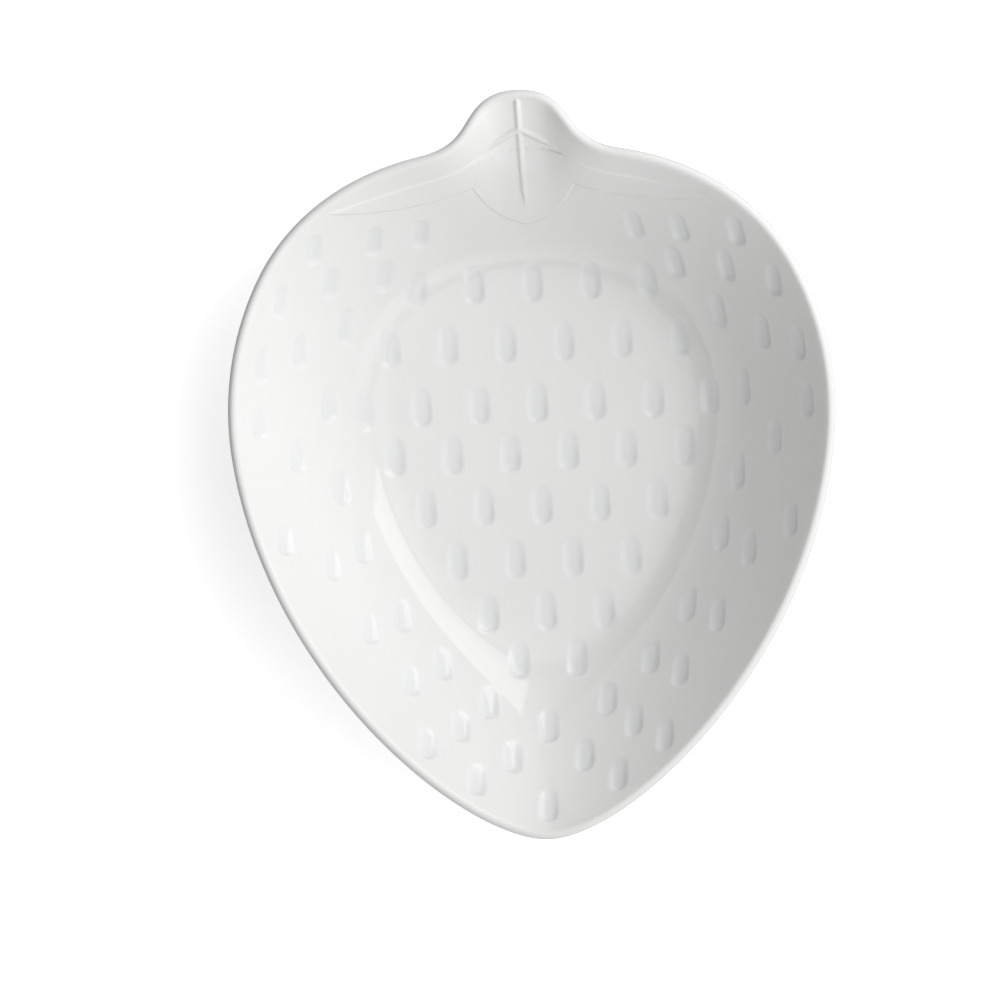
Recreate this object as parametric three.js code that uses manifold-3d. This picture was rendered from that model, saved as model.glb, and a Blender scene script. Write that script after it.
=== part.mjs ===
// A glazed porcelain serving bowl in the shape of a strawberry: a round mouth that runs out into a pointed
// tip, a rounded stem tab, seeds pressed into the inside, and three low leaves with a raised vein below the
// tab. Millimetres, +Z up, the stem tab towards +Y and the tip towards -Y. The bowl stands on its foot ring at
// z = 0. Plan shapes are drawn about the middle of the mouth's round part, with angles from +Y towards +X.

import * as THREE from 'three';
import { mergeVertices } from 'three/addons/utils/BufferGeometryUtils.js';
import Module from 'manifold-3d';

// Mouth: the inner edge of the lip
const MOUTH_RADIUS = 109.5;
const SHOULDER_ANGLE = 62;
const SHOULDER_EASE = 38.5;
const SIDE_ANGLE = 96.5;
const SIDE_EASE = 84;
const TIP_LENGTH = 47;
const TIP_ROUNDING = 28;

// Stem tab: a lobe on the mouth, which dies away down the wall
const TAB_LENGTH = 7;
const TAB_ROUNDING = 19.5;
const TAB_ROOT_HALF_WIDTH = 36;
const TAB_ROOT_DIP = 9.8;
const TAB_ROOT_FALL = 11.5;
const TAB_ROOT_INNER_EASE = 25.5;
const TAB_ROOT_OUTER_EASE = 7;
const CROWN_DIP = 12.5;
const TAB_FADE_POWER = 4;

// Floor: the flat inside of the bowl
const FLOOR_HALF_WIDTH = 54;
const FLOOR_BACK = 48;
const FLOOR_FRONT = 84;

// Wall: its rise from the floor to the lip, with the handles of its curve as shares of its run and rise
const INNER_DEPTH = 55;
const FLOOR_EASE = 0.27;
const WALL_EASE_RUN = 0.44;
const WALL_EASE_RISE = 0.2;
const BASE_THICKNESS = 5;
const LIP_THICKNESS = 4;

// Foot ring
const FOOT_HEIGHT = 4;
const FOOT_WIDTH = 5;
const FOOT_SETBACK = 1.5;

// Seeds: dimples in staggered rows across the floor, each row up from its middle, and in rings on the wall,
// each ring down from the lip with the angles of its seeds from the tip, the same on both sides
const SEED_LENGTH = 15;
const SEED_WIDTH = 7.5;
const SEED_DEPTH = 1.2;
const SEED_SPACING = 22.5;
const SEED_ROWS = [
  { up: 76, seeds: 5 },
  { up: 48.5, seeds: 5 },
  { up: 25.5, seeds: 6 },
  { up: 2, seeds: 7 },
  { up: -17, seeds: 6 },
  { up: -37.5, seeds: 5 },
  { up: -58.5, seeds: 4 },
  { up: -79, seeds: 3 },
  { up: -98, seeds: 2 },
];
const SEED_RINGS = [
  { down: 50, angles: [0, 11.5, 22.5, 35.5, 54, 70.5, 94, 116, 134] },
  { down: 31, angles: [6, 15.5, 27, 39.5, 55, 81.5, 106.5, 124.5, 139] },
  { down: 12, angles: [0, 11, 20, 65, 90, 102, 116, 129] },
];

// The middle of a seed's tool stands off the wall by this share of the tool's half height
const SEED_SEAT = 0.5;

// Leaves and veins, on the inside as if it were rolled out flat: places are given aside from its middle line
// and down from the end of the stem tab
const LEAF_RELIEF = 0.5;
const LEAF_OVERLAP = 8;
const LEAF_TIP = new THREE.Vector2(0, 61.5);
const LEAF_BULGE = new THREE.Vector2(14, 57.5);
const LEAF_FORK = new THREE.Vector2(22.5, 37);
const LEAF_COLLAR = new THREE.Vector2(19, 22.5);
const SIDE_LEAF_LOWER_BULGE = new THREE.Vector2(54, 50);
const SIDE_LEAF_UPPER_BULGE = new THREE.Vector2(52, 33);
const SIDE_LEAF_TIP_ANGLE = 43;
const SIDE_LEAF_LIP_MARGIN = 2.8;
const VEIN_WIDTH = 3.4;
const VEIN_HEIGHT = 0.9;
const VEIN_TOP = new THREE.Vector2(0, 4);
const VEIN_BOTTOM = new THREE.Vector2(0, 50.5);
const VEIN_FORK = new THREE.Vector2(0, 13.5);
const SIDE_VEIN_END = new THREE.Vector2(15.5, 21);

// Facets
const TAB_FACETS = 9;
const ROOT_FACETS = 6;
const ROUND_FACETS = 6;
const SIDE_FACETS = 16;
const WALL_FACETS = 8;
const LIP_FACETS = 4;
const FOOT_FACETS = 48;
const SEED_SIDES = 8;
const SEED_BANDS = 5;
const LEAF_FACETS = 10;
const VEIN_FACETS = 8;
const CURVE_SAMPLES = 200;

// Relief pads reach this far into the wall that they are joined to
const PAD_ROOT = 1.2;

// The surface's axes are measured over a step this long to each side
const AXIS_STEP = 0.5;

const FLOOR_HEIGHT = FOOT_HEIGHT + BASE_THICKNESS;
const UP = new THREE.Vector3(0, 0, 1);

const wasm = await Module();
wasm.setup();

// The right half of the mouth as four curves, from the end of the stem tab to the tip
function mouthCurves() {
  const onRound = (angle) => compass(angle).multiplyScalar(MOUTH_RADIUS);
  const alongRound = (angle) => compass(angle + 90);
  const tabEnd = new THREE.Vector2(0, MOUTH_RADIUS + TAB_LENGTH);
  const tip = new THREE.Vector2(0, -MOUTH_RADIUS - TIP_LENGTH);
  const rootRadius = MOUTH_RADIUS - TAB_ROOT_DIP;
  const root = new THREE.Vector2(TAB_ROOT_HALF_WIDTH, Math.sqrt(rootRadius ** 2 - TAB_ROOT_HALF_WIDTH ** 2));
  const alongRoot = compass(90 + TAB_ROOT_FALL);
  const shoulder = onRound(SHOULDER_ANGLE);
  const side = onRound(SIDE_ANGLE);
  const fromX = (angle) => THREE.MathUtils.degToRad(90 - angle);
  const tab = new THREE.CubicBezierCurve(
    tabEnd,
    tabEnd.clone().add(new THREE.Vector2(TAB_ROUNDING, 0)),
    root.clone().addScaledVector(alongRoot, -TAB_ROOT_INNER_EASE),
    root,
  );
  const rootToShoulder = new THREE.CubicBezierCurve(
    root,
    root.clone().addScaledVector(alongRoot, TAB_ROOT_OUTER_EASE),
    shoulder.clone().addScaledVector(alongRound(SHOULDER_ANGLE), -SHOULDER_EASE),
    shoulder,
  );
  const round = new THREE.EllipseCurve(
    0, 0, MOUTH_RADIUS, MOUTH_RADIUS, fromX(SHOULDER_ANGLE), fromX(SIDE_ANGLE), true,
  );
  const sideToTip = new THREE.CubicBezierCurve(
    side,
    side.clone().addScaledVector(alongRound(SIDE_ANGLE), SIDE_EASE),
    tip.clone().add(new THREE.Vector2(TIP_ROUNDING, 0)),
    tip,
  );
  return [
    { curve: tab, facets: TAB_FACETS },
    { curve: rootToShoulder, facets: ROOT_FACETS },
    { curve: round, facets: ROUND_FACETS },
    { curve: sideToTip, facets: SIDE_FACETS },
  ];
}

// A unit step in plan at an angle in degrees from +Y
function compass(angle) {
  const turn = THREE.MathUtils.degToRad(angle);
  return new THREE.Vector2(Math.sin(turn), Math.cos(turn));
}

const MOUTH_CURVES = mouthCurves();
const MOUTH_TABLE = MOUTH_CURVES.flatMap(({ curve }) => curve.getSpacedPoints(CURVE_SAMPLES))
  .map((point) => ({ angle: Math.atan2(Math.abs(point.x), point.y), radius: point.length() }));

// Distance from the middle to the mouth, read between the points of its curves
function mouthRadius(angle) {
  const turn = Math.abs(angle);
  const next = MOUTH_TABLE.findIndex((entry) => entry.angle >= turn);
  if (next <= 0) {
    return next === 0 ? MOUTH_TABLE[0].radius : MOUTH_TABLE.at(-1).radius;
  }
  const before = MOUTH_TABLE[next - 1];
  const after = MOUTH_TABLE[next];
  return THREE.MathUtils.mapLinear(turn, before.angle, after.angle, before.radius, after.radius);
}

// The mouth as it would be without the stem tab
function crownRadius(angle) {
  const shoulder = THREE.MathUtils.degToRad(SHOULDER_ANGLE);
  if (Math.abs(angle) >= shoulder) {
    return mouthRadius(angle);
  }
  return MOUTH_RADIUS - CROWN_DIP * (1 - THREE.MathUtils.smoothstep(Math.abs(angle), 0, shoulder));
}

// The edge of the flat floor: half an ellipse towards the tab and a longer half towards the tip
function floorRadius(angle) {
  const reach = Math.cos(angle) > 0 ? FLOOR_BACK : FLOOR_FRONT;
  return 1 / Math.hypot(Math.sin(angle) / FLOOR_HALF_WIDTH, Math.cos(angle) / reach);
}

const WALL_PROFILE = new THREE.CubicBezierCurve(
  new THREE.Vector2(0, 0),
  new THREE.Vector2(FLOOR_EASE, 0),
  new THREE.Vector2(WALL_EASE_RUN, WALL_EASE_RISE),
  new THREE.Vector2(1, 1),
);

// A point of the inside, at an angle and a share of the way up the wall
function insidePoint(angle, share) {
  const { x: run, y: rise } = WALL_PROFILE.getPoint(share);
  const floor = floorRadius(angle);
  const crown = crownRadius(angle);
  const tab = mouthRadius(angle) - crown;
  const radius = floor + (crown - floor) * run + tab * run ** TAB_FADE_POWER;
  return new THREE.Vector3(
    radius * Math.sin(angle),
    radius * Math.cos(angle),
    FLOOR_HEIGHT + INNER_DEPTH * rise,
  );
}

// How far the inside runs from its middle to the lip, along the surface
function insideLength(angle) {
  return meridian(angle).at(-1).along;
}

// The inside's points at one angle, with the distance of each from the middle along the surface
function meridian(angle) {
  const points = [];
  let along = floorRadius(angle);
  for (let step = 0; step <= CURVE_SAMPLES; step += 1) {
    const point = insidePoint(angle, step / CURVE_SAMPLES);
    if (step > 0) {
      along += point.distanceTo(points[step - 1].point);
    }
    points.push({ along, point });
  }
  return points;
}

// The place on the inside of a point of the rolled-out plan
function drape(x, y) {
  const angle = Math.atan2(x, y);
  const along = Math.hypot(x, y);
  if (along <= floorRadius(angle)) {
    return new THREE.Vector3(x, y, FLOOR_HEIGHT);
  }
  const points = meridian(angle);
  const next = points.findIndex((entry) => entry.along >= along);
  if (next === -1) {
    return points.at(-1).point;
  }
  const before = points[next - 1];
  const after = points[next];
  return before.point.clone().lerp(after.point, (along - before.along) / (after.along - before.along));
}

// The surface's own axes at a point of the rolled-out plan: across, towards the tab, and out of the wall
function drapeAxes(x, y) {
  const across = drape(x + AXIS_STEP, y).sub(drape(x - AXIS_STEP, y));
  const towardsTab = drape(x, y + AXIS_STEP).sub(drape(x, y - AXIS_STEP)).normalize();
  const out = across.cross(towardsTab).normalize();
  return { across: towardsTab.clone().cross(out), towardsTab, out };
}

// A place of the rolled-out plan that is given from the end of the stem tab, on the right (side 1) or the
// left (-1)
function belowTab(place, side = 1) {
  return new THREE.Vector2(place.x * side, insideLength(0) - place.y);
}

// A closed solid from a geometry, for joining and cutting
function solidOf(geometry) {
  const bare = geometry.clone();
  bare.deleteAttribute('normal');
  bare.deleteAttribute('uv');
  const merged = mergeVertices(bare);
  return new wasm.Manifold(
    new wasm.Mesh({
      numProp: 3,
      vertProperties: merged.getAttribute('position').array,
      triVerts: new Uint32Array(merged.index.array),
    }),
  );
}

function geometryOf(solid) {
  const { vertProperties, triVerts } = solid.getMesh();
  const geometry = new THREE.BufferGeometry();
  geometry.setAttribute('position', new THREE.BufferAttribute(new Float32Array(vertProperties), 3));
  geometry.setIndex(new THREE.BufferAttribute(new Uint32Array(triVerts), 1));
  geometry.computeVertexNormals();
  return geometry;
}

function indexedGeometry(points, triangles) {
  const geometry = new THREE.BufferGeometry().setFromPoints(points);
  geometry.setIndex(triangles);
  return geometry;
}

// The angles of the bowl's columns: those of the mouth's facets, on the right and mirrored on the left
function columnAngles() {
  const right = MOUTH_CURVES.flatMap(({ curve, facets }) => curve.getSpacedPoints(facets).slice(1))
    .map((point) => Math.atan2(point.x, point.y));
  right[right.length - 1] = Math.PI;
  const left = right.slice(0, -1).map((angle) => -angle).reverse();
  return [0, ...right, ...left];
}

// Rings of points from the floor's edge up the inside, over the lip and down the outside to the base
function bowlRings() {
  const angles = columnAngles();
  const inside = [];
  for (let row = 0; row <= WALL_FACETS; row += 1) {
    inside.push(angles.map((angle) => insidePoint(angle, row / WALL_FACETS)));
  }
  const outside = inside.map((ring, row) => {
    const { x: run } = WALL_PROFILE.getPoint(row / WALL_FACETS);
    const thickness = THREE.MathUtils.lerp(BASE_THICKNESS, LIP_THICKNESS, run);
    return ring.map((point, column) => (
      point.clone().addScaledVector(insideNormal(inside, row, column), -thickness)
    ));
  });
  const lip = [];
  for (let step = 1; step < LIP_FACETS; step += 1) {
    lip.push(angles.map((_, column) => lipPoint(inside, column, (Math.PI * step) / LIP_FACETS)));
  }
  return [...inside, ...lip, ...outside.reverse()];
}

// The way out of the wall into the bowl, at a point of the inside's grid
function insideNormal(inside, row, column) {
  if (row === 0) {
    return UP;
  }
  return aroundStep(inside, row, column).cross(upStep(inside, row, column)).normalize();
}

function aroundStep(inside, row, column) {
  const ring = inside[row];
  const next = ring[(column + 1) % ring.length];
  const last = ring.at(column - 1);
  return next.clone().sub(last);
}

function upStep(inside, row, column) {
  const above = inside[Math.min(row + 1, WALL_FACETS)][column];
  return above.clone().sub(inside[row - 1][column]);
}

// A point of the half-round lip, turned from the inside over to the outside
function lipPoint(inside, column, turn) {
  const normal = insideNormal(inside, WALL_FACETS, column);
  const over = normal.clone().cross(aroundStep(inside, WALL_FACETS, column)).normalize();
  const radius = LIP_THICKNESS / 2;
  return inside[WALL_FACETS][column].clone()
    .addScaledVector(normal, radius * (Math.cos(turn) - 1))
    .addScaledVector(over, radius * Math.sin(turn));
}

// The plain bowl: its rings joined by quads and closed by a fan on the floor and one on the base
function plainBowl() {
  const rings = bowlRings();
  const columns = rings[0].length;
  const points = rings.flat();
  const floorMiddle = points.push(new THREE.Vector3(0, 0, FLOOR_HEIGHT)) - 1;
  const baseMiddle = points.push(new THREE.Vector3(0, 0, FOOT_HEIGHT)) - 1;
  const lastRing = (rings.length - 1) * columns;
  const triangles = [];
  for (let column = 0; column < columns; column += 1) {
    const next = (column + 1) % columns;
    triangles.push(floorMiddle, next, column);
    triangles.push(baseMiddle, lastRing + column, lastRing + next);
    for (let ring = 0; ring < rings.length - 1; ring += 1) {
      const low = ring * columns;
      const high = low + columns;
      triangles.push(low + column, low + next, high + next);
      triangles.push(low + column, high + next, high + column);
    }
  }
  return indexedGeometry(points, triangles);
}

// A seed's place on the rolled-out plan, at an angle from the tip and a distance down from the lip
function ringPlace(angleFromTip, down) {
  const angle = 180 - angleFromTip;
  return compass(angle).multiplyScalar(insideLength(THREE.MathUtils.degToRad(angle)) - down);
}

// The places of the seeds on the rolled-out plan, with none on the middle leaf
function seedPlaces() {
  const leafEnd = belowTab(LEAF_TIP).y;
  const onFloor = SEED_ROWS.flatMap(({ up, seeds }) => Array.from({ length: seeds }, (_, seed) => (
    new THREE.Vector2((seed - (seeds - 1) / 2) * SEED_SPACING, up)
  ))).filter((place) => place.y < leafEnd || Math.abs(place.x) > LEAF_FORK.x);
  const onRight = SEED_RINGS.flatMap(({ down, angles }) => angles.map((angle) => ringPlace(angle, down)));
  const onLeft = onRight.filter((place) => place.x > SEED_WIDTH)
    .map((place) => new THREE.Vector2(-place.x, place.y));
  return [...onFloor, ...onRight, ...onLeft];
}

// The oval tool that presses one seed, as wide and long as the seed where it meets the wall
function seedTool(place) {
  const halfHeight = SEED_DEPTH / (1 - SEED_SEAT);
  const spread = 1 / Math.sqrt(1 - SEED_SEAT ** 2);
  const { across, towardsTab, out } = drapeAxes(place.x, place.y);
  const seat = drape(place.x, place.y).addScaledVector(out, halfHeight * SEED_SEAT);
  return new THREE.SphereGeometry(1, SEED_SIDES, SEED_BANDS)
    .rotateX(Math.PI / 2)
    .scale((SEED_WIDTH / 2) * spread, (SEED_LENGTH / 2) * spread, halfHeight)
    .applyMatrix4(new THREE.Matrix4().makeBasis(across, towardsTab, out).setPosition(seat));
}

// A pad of relief on the inside from a grid of rolled-out places, each with its height above the wall
function reliefPad(rows) {
  const columns = rows[0].length;
  const raised = (x, y, height) => drape(x, y).addScaledVector(drapeAxes(x, y).out, height);
  const tops = rows.flat().map(({ x, y, height }) => raised(x, y, height));
  const roots = rows.flat().map(({ x, y }) => raised(x, y, -PAD_ROOT));
  const points = [...tops, ...roots];
  const root = tops.length;
  const triangles = [];
  const quad = (a, b, c, d) => triangles.push(a, b, c, a, c, d);
  for (let row = 0; row < rows.length - 1; row += 1) {
    for (let column = 0; column < columns - 1; column += 1) {
      const a = row * columns + column;
      const b = a + 1;
      const c = b + columns;
      const d = a + columns;
      quad(a, b, c, d);
      quad(root + d, root + c, root + b, root + a);
    }
    const left = row * columns;
    const right = left + columns - 1;
    quad(left, left + columns, root + left + columns, root + left);
    quad(right + columns, right, root + right, root + right + columns);
  }
  const last = (rows.length - 1) * columns;
  for (let column = 0; column < columns - 1; column += 1) {
    quad(column + 1, column, root + column, root + column + 1);
    quad(last + column, last + column + 1, root + last + column + 1, root + last + column);
  }
  return indexedGeometry(points, triangles);
}

// The middle leaf, from its tip up to the stem tab's collar, where it sinks back into the wall
function middleLeaf() {
  const places = [LEAF_TIP, LEAF_BULGE, LEAF_FORK, LEAF_COLLAR];
  const [tip, bulge, fork, collar] = places.map((place) => belowTab(place));
  const lower = new THREE.QuadraticBezierCurve(tip, bulge, fork).getPoints(LEAF_FACETS / 2);
  const upper = new THREE.LineCurve(fork, collar).getPoints(LEAF_FACETS / 2).slice(1);
  const edge = [...lower.slice(1), ...upper];
  const shares = [-1, -0.5, 0, 0.5, 1];
  return reliefPad(edge.map((point, step) => shares.map((share) => ({
    x: point.x * share,
    y: point.y,
    height: step === edge.length - 1 ? -PAD_ROOT / 2 : LEAF_RELIEF,
  }))));
}

// A side leaf, between its lower and upper edges, on the right (side 1) or the left (-1). It starts under the
// middle leaf and its tip lies just short of the lip.
function sideLeaf(side) {
  const tipAlong = insideLength(THREE.MathUtils.degToRad(SIDE_LEAF_TIP_ANGLE)) - SIDE_LEAF_LIP_MARGIN;
  const tip = compass(SIDE_LEAF_TIP_ANGLE).multiplyScalar(tipAlong);
  const lower = new THREE.QuadraticBezierCurve(belowTab(LEAF_FORK), belowTab(SIDE_LEAF_LOWER_BULGE), tip);
  const upper = new THREE.QuadraticBezierCurve(belowTab(LEAF_COLLAR), belowTab(SIDE_LEAF_UPPER_BULGE), tip);
  const rows = lower.getPoints(LEAF_FACETS).slice(0, -1).map((low, step) => {
    const high = upper.getPoint(step / LEAF_FACETS);
    const overlap = step === 0 ? LEAF_OVERLAP : 0;
    return [0, 0.5, 1].map((share) => {
      const point = low.clone().lerp(high, share);
      return { x: (point.x - overlap) * side, y: point.y, height: LEAF_RELIEF };
    });
  });
  return reliefPad(side > 0 ? rows.reverse() : rows);
}

// A raised vein between two rolled-out places, crowned along its middle
function vein(from, to) {
  const along = to.clone().sub(from).normalize();
  const aside = new THREE.Vector2(along.y, -along.x).multiplyScalar(VEIN_WIDTH / 2);
  const rows = [];
  for (let step = 0; step <= VEIN_FACETS; step += 1) {
    const middle = from.clone().lerp(to, step / VEIN_FACETS);
    rows.push([-1, 0, 1].map((share) => ({
      x: middle.x + aside.x * share,
      y: middle.y + aside.y * share,
      height: share === 0 ? LEAF_RELIEF + VEIN_HEIGHT : LEAF_RELIEF / 2,
    })));
  }
  return reliefPad(rows);
}

function bowlBody() {
  const veins = [
    vein(belowTab(VEIN_BOTTOM), belowTab(VEIN_TOP)),
    vein(belowTab(SIDE_VEIN_END), belowTab(VEIN_FORK)),
    vein(belowTab(SIDE_VEIN_END, -1), belowTab(VEIN_FORK)),
  ];
  const relief = [middleLeaf(), sideLeaf(1), sideLeaf(-1), ...veins];
  let body = solidOf(plainBowl());
  relief.forEach((pad) => {
    body = body.add(solidOf(pad));
  });
  seedPlaces().forEach((place) => {
    body = body.subtract(solidOf(seedTool(place)));
  });
  return geometryOf(body);
}

// A ring below the floor, set back from its edge, with its top against the base
function footRing() {
  const outline = (setback) => {
    const points = [];
    for (let step = 0; step < FOOT_FACETS; step += 1) {
      const angle = (-step / FOOT_FACETS) * Math.PI * 2;
      const radius = floorRadius(angle) - setback;
      points.push(new THREE.Vector2(radius * Math.sin(angle), radius * Math.cos(angle)));
    }
    return points;
  };
  const ring = new THREE.Shape(outline(FOOT_SETBACK));
  ring.holes.push(new THREE.Path(outline(FOOT_SETBACK + FOOT_WIDTH)));
  return new THREE.ExtrudeGeometry(ring, { depth: FOOT_HEIGHT, bevelEnabled: false, steps: 1 });
}

function namedMesh(name, geometry, material) {
  const mesh = new THREE.Mesh(geometry, material);
  mesh.name = name;
  return mesh;
}

const glazedPorcelain = new THREE.MeshStandardMaterial({ color: 0xf3f3f1, roughness: 0.12, metalness: 0 });
const barePorcelain = new THREE.MeshStandardMaterial({ color: 0xe8e3d9, roughness: 0.85, metalness: 0 });

const body = namedMesh('bowl_body', bowlBody(), glazedPorcelain);
const foot = namedMesh('foot_ring', footRing(), barePorcelain);

// The origin lies on the table under the middle of the bowl's length
const strawberryBowl = new THREE.Group();
strawberryBowl.add(body, foot);
const middle = new THREE.Box3().setFromObject(body).getCenter(new THREE.Vector3());
strawberryBowl.position.y = -middle.y;

export default strawberryBowl;
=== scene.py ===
"""A white glazed porcelain bowl in the shape of a strawberry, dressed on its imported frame.

Sizes are in millimetres and become metres where a mesh is made. The bowl's shape is drawn about the
middle of its round mouth, with angles turned from the stem tab (+Y) towards +X. Seeds, leaves and veins
are placed on the rolled-out plan: the inside laid flat, so that a place's distance from the middle is its
distance along the surface.
"""

import logging
import math
from collections.abc import Callable
from dataclasses import dataclass, field
from enum import Enum
from functools import cached_property
from typing import ClassVar

import bpy
import numpy as np
from mathutils import Matrix, Vector

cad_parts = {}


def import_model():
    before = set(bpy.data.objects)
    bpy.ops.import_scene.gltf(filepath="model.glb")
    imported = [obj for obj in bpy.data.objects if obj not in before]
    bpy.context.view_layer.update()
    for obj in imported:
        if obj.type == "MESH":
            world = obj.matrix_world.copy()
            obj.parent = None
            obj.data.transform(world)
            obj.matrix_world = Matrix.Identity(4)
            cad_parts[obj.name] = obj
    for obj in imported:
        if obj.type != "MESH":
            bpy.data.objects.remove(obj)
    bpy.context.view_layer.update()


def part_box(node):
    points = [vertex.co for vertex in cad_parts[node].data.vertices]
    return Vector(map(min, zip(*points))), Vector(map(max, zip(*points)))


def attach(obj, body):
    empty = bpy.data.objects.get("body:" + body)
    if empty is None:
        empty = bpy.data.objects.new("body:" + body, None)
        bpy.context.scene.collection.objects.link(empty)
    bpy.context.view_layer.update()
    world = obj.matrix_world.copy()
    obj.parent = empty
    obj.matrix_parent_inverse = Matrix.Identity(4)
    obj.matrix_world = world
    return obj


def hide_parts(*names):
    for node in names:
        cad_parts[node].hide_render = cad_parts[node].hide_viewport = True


MM = 0.001
UP = np.array([0.0, 0.0, 1.0])
DRAPE = "drape"
INSIDE = "inside"
POOL = "pool"

# The numbers of a colour mix's own sockets, whose names it shares with other kinds of mix.
MIX_SHARE, MIX_FIRST, MIX_SECOND, MIX_RESULT = 0, 6, 7, 2

log = logging.getLogger("strawberry_bowl")


class Hand(Enum):
    """The side of the bowl's middle line, as seen from above with the stem tab up."""

    LEFT = -1
    RIGHT = 1


def linear_colour(code: str) -> tuple[float, float, float, float]:
    """Turns an sRGB hex colour into linear red, green, blue and full alpha.

    Args:
        code: Six hex digits, such as "f4f4f1".

    Returns:
        The colour for a shader socket.
    """
    shares = [int(code[place:place + 2], 16) / 255 for place in (0, 2, 4)]
    red, green, blue = (s / 12.92 if s <= 0.04045 else ((s + 0.055) / 1.055) ** 2.4 for s in shares)
    return red, green, blue, 1.0


def add_node(
    tree: bpy.types.NodeTree, kind: str, inputs: dict | None = None, **settings: object,
) -> bpy.types.Node:
    """Adds a node with its settings and links.

    Args:
        tree: The shader or geometry tree.
        kind: The node's type.
        inputs: For each input's name or number, a value or the output that feeds it.
        settings: The node's own settings.

    Returns:
        The new node.
    """
    node = tree.nodes.new(kind)
    for name, value in settings.items():
        setattr(node, name, value)
    for key, value in (inputs or {}).items():
        if isinstance(value, bpy.types.NodeSocket):
            tree.links.new(value, node.inputs[key])
        else:
            node.inputs[key].default_value = value
    return node


def bezier(points: list[tuple[float, float]], samples: int) -> np.ndarray:
    """Points along a Bezier curve.

    Args:
        points: The curve's ends with its handles between them.
        samples: How many points to return.

    Returns:
        One row of x, y for each point.
    """
    share = np.linspace(0, 1, samples)[:, None]
    layers = [np.asarray(point, dtype=float)[None, :] for point in points]
    while len(layers) > 1:
        layers = [(1 - share) * first + share * second for first, second in zip(layers, layers[1:])]
    return layers[0]


def smooth_step(value: np.ndarray, low: float, high: float) -> np.ndarray:
    """Rises from 0 at low to 1 at high, level at both ends."""
    share = np.clip((value - low) / (high - low), 0, 1)
    return share * share * (3 - 2 * share)


def line_distance(x: np.ndarray, y: np.ndarray, line: np.ndarray) -> np.ndarray:
    """Distance of each place from a line of straight pieces.

    Args:
        x: The places' x.
        y: The places' y.
        line: The line's points.

    Returns:
        The distance of each place.
    """
    nearest = np.full(x.shape, np.inf)
    for start, end in zip(line, line[1:]):
        run = end - start
        share = np.clip(((x - start[0]) * run[0] + (y - start[1]) * run[1]) / (run @ run), 0, 1)
        nearest = np.minimum(nearest, np.hypot(x - start[0] - share * run[0], y - start[1] - share * run[1]))
    return nearest


def within(x: np.ndarray, y: np.ndarray, outline: np.ndarray) -> np.ndarray:
    """Says which places lie inside a closed outline.

    Args:
        x: The places' x.
        y: The places' y.
        outline: The outline's points.

    Returns:
        True for each place inside.
    """
    inside = np.zeros(x.shape, dtype=bool)
    for start, end in zip(outline, np.roll(outline, -1, axis=0)):
        if start[1] == end[1]:
            continue
        crosses = (start[1] > y) != (end[1] > y)
        edge_x = start[0] + (y - start[1]) / (end[1] - start[1]) * (end[0] - start[0])
        inside ^= crosses & (x < edge_x)
    return inside


def new_mesh_object(name: str, points: np.ndarray, faces: list[list[int]]) -> bpy.types.Object:
    """Makes a smooth-shaded mesh object in the scene.

    Args:
        name: The object's name.
        points: Its points in metres.
        faces: The point numbers of each face.

    Returns:
        The new object, at the origin.
    """
    mesh = bpy.data.meshes.new(name)
    mesh.from_pydata(points.tolist(), [], faces)
    mesh.polygons.foreach_set("use_smooth", np.ones(len(mesh.polygons), dtype=bool))
    mesh.update()
    piece = bpy.data.objects.new(name, mesh)
    bpy.context.scene.collection.objects.link(piece)
    return piece


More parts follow.
